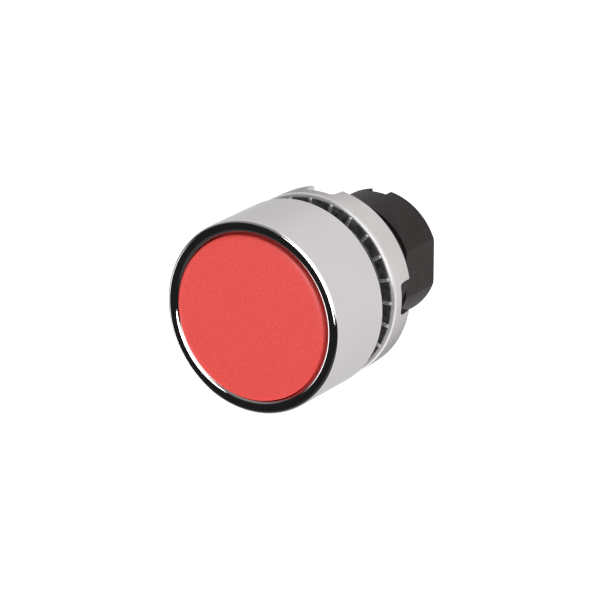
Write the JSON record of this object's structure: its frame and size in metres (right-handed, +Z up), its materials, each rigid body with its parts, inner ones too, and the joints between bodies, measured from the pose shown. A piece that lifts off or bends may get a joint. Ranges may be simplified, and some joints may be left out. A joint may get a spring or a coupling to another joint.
{
  "type": "industrial push button",
  "caption": "Flush spring-return push-button head for a 22 mm panel hole: red cap in a chromed bezel, ribbed castellated ring nut, black threaded barrel and rear coupling collar.",
  "frame": {"origin": "on the button's axis, in the plane where the gasket meets the front of the panel", "axes": "+Y along the axis, from the red cap towards the rear collar; +Z up, through the notch in the collar's rim; +X to the right seen from the front"},
  "size_m": [0.0298, 0.038, 0.0298],
  "materials": {
    "chrome": "polished chrome plate on die-cast zinc",
    "red_plastic": "finely grained moulded plastic",
    "black_plastic": "satin moulded plastic",
    "natural_acetal": "natural acetal",
    "rubber": "matt moulded rubber",
    "steel": "zinc-plated steel",
    "spring_steel": "drawn spring wire"
  },
  "bodies": {
    "housing": {"bezel": "chrome", "retaining_ring": "steel", "bezel_o_ring": "rubber", "diaphragm": "rubber", "barrel": "black_plastic", "panel_gasket": "rubber", "locating_key": "black_plastic", "guide_bush": "natural_acetal", "spring_seat": "steel", "bumper_washer": "rubber", "return_spring": "spring_steel", "rear_collar": "black_plastic"},
    "button": {"button_cap": "red_plastic", "plunger": "black_plastic", "cuff_ring": "steel", "circlip": "steel", "pusher": "natural_acetal", "pusher_screw": "steel"},
    "washer": {"lock_washer": "steel"},
    "nut": {"ring_nut": "chrome"}
  },
  "joints": [
    {"name": "button_press", "type": "slide", "parent": "housing", "child": "button", "axis": [0, 1, 0], "range_m": [0, 0.005], "stiffness_N_per_m": 350, "springref_m": -0.008, "deforming": ["return_spring", "diaphragm"]},
    {"name": "nut_travel", "type": "slide", "parent": "housing", "child": "washer", "axis": [0, 1, 0], "range_m": [-0.0018, 0.0042]},
    {"name": "nut_turn", "type": "hinge", "parent": "washer", "child": "nut", "pos_m": [0, 0.0058, 0], "axis": [0, 1, 0], "range_deg": [-432, 1008]}
  ],
  "couplings": [
    {"joint": "nut_travel", "follows": "nut_turn", "m_per_rad": 0.0002387}
  ]
}
